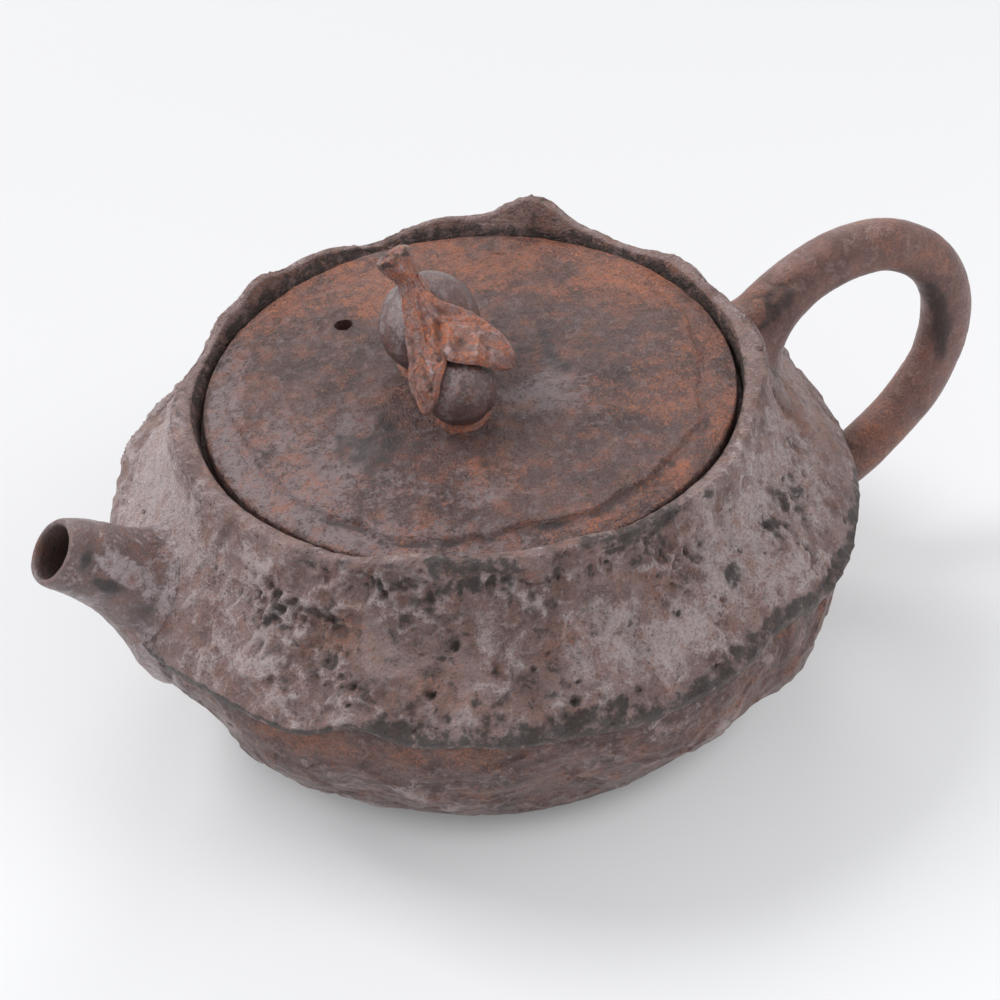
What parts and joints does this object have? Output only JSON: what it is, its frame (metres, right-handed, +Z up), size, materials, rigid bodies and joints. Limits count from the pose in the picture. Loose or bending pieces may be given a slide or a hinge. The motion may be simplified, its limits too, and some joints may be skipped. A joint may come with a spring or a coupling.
{
  "type": "teapot",
  "caption": "Round clay teapot with a wavy petal collar, sunken lift-off lid with a fruit-and-leaf knob, short side spout and loop handle.",
  "frame": {"origin": "centre of the foot ring on the table", "axes": "+Z up, the spout points to -X and the handle to +X"},
  "size_m": [0.1565, 0.1156, 0.0773],
  "materials": {
    "body_clay": "matte",
    "rough_clay": "matte",
    "spout_clay": "satin",
    "handle_clay": "satin",
    "lid_clay": "satin",
    "fruit_clay": "satin",
    "rust_clay": "matte"
  },
  "bodies": {
    "pot": {"foot_ring": "body_clay", "floor_slab": "body_clay", "bowl_wall": "body_clay", "shoulder_wall": "rough_clay", "collar": "rough_clay", "lid_seat": "body_clay", "spout": "spout_clay", "handle": "handle_clay"},
    "lid_carrier": {"lid_flange": "lid_clay"},
    "lid": {"lid_plate": "lid_clay", "knob_pad": "rust_clay", "fruit_big": "fruit_clay", "fruit_small": "fruit_clay", "knob_stem": "rust_clay", "leaf_long": "rust_clay", "leaf_short": "rust_clay"}
  },
  "joints": [
    {"name": "lid_lift", "type": "slide", "parent": "pot", "child": "lid_carrier", "axis": [0, 0, 1], "range_m": [0, 0.045]},
    {"name": "lid_turn", "type": "hinge", "parent": "lid_carrier", "child": "lid", "pos_m": [0, 0, 0.048], "axis": [0, 0, 1], "continuous": true}
  ]
}
